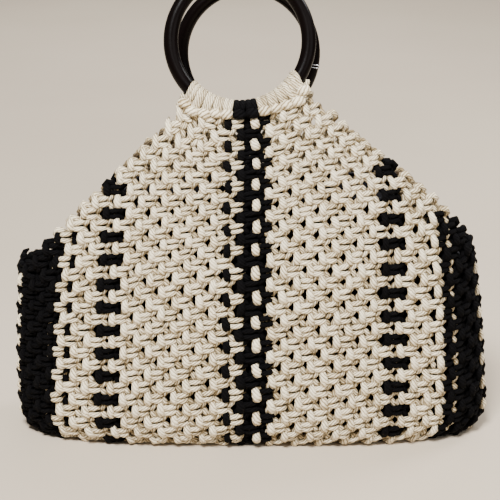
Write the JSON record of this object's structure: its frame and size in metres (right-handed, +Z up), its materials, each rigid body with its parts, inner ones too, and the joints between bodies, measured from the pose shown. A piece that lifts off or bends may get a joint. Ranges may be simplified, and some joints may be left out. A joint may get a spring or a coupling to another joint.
{
  "type": "top handle bag",
  "caption": "Hand-knotted cord handbag with two round ring handles, sloping open mouth, striped panels and a dark cloth lining.",
  "frame": {"origin": "middle of the flat underside, where the bag stands", "axes": "+Z up, the front faces -Y, +X to the right of someone who faces the front"},
  "size_m": [0.4236, 0.142, 0.4084],
  "materials": {
    "cream_cord": "soft twisted cotton cord, matte",
    "black_cord": "soft twisted cotton cord, dyed black, matte",
    "lining_cloth": "plain woven cotton lining, black",
    "ring_lacquer": "glossy brown-black lacquered ring",
    "band_metal": "thin polished steel band"
  },
  "bodies": {
    "root": {"front_panel_left": "cream_cord", "front_panel_right": "cream_cord", "front_stripe": "black_cord", "back_panel_left": "cream_cord", "back_panel_right": "cream_cord", "back_stripe": "black_cord", "left_gusset": "black_cord", "right_gusset": "black_cord", "base_panel": "cream_cord", "lining": "lining_cloth", "front_ring": "ring_lacquer", "front_wraps_left": "cream_cord", "front_wraps_middle": "black_cord", "front_wraps_right": "cream_cord", "back_ring": "ring_lacquer", "back_wraps_left": "cream_cord", "back_wraps_middle": "black_cord", "back_wraps_right": "cream_cord", "back_ring_band": "band_metal"}
  },
  "joints": []
}
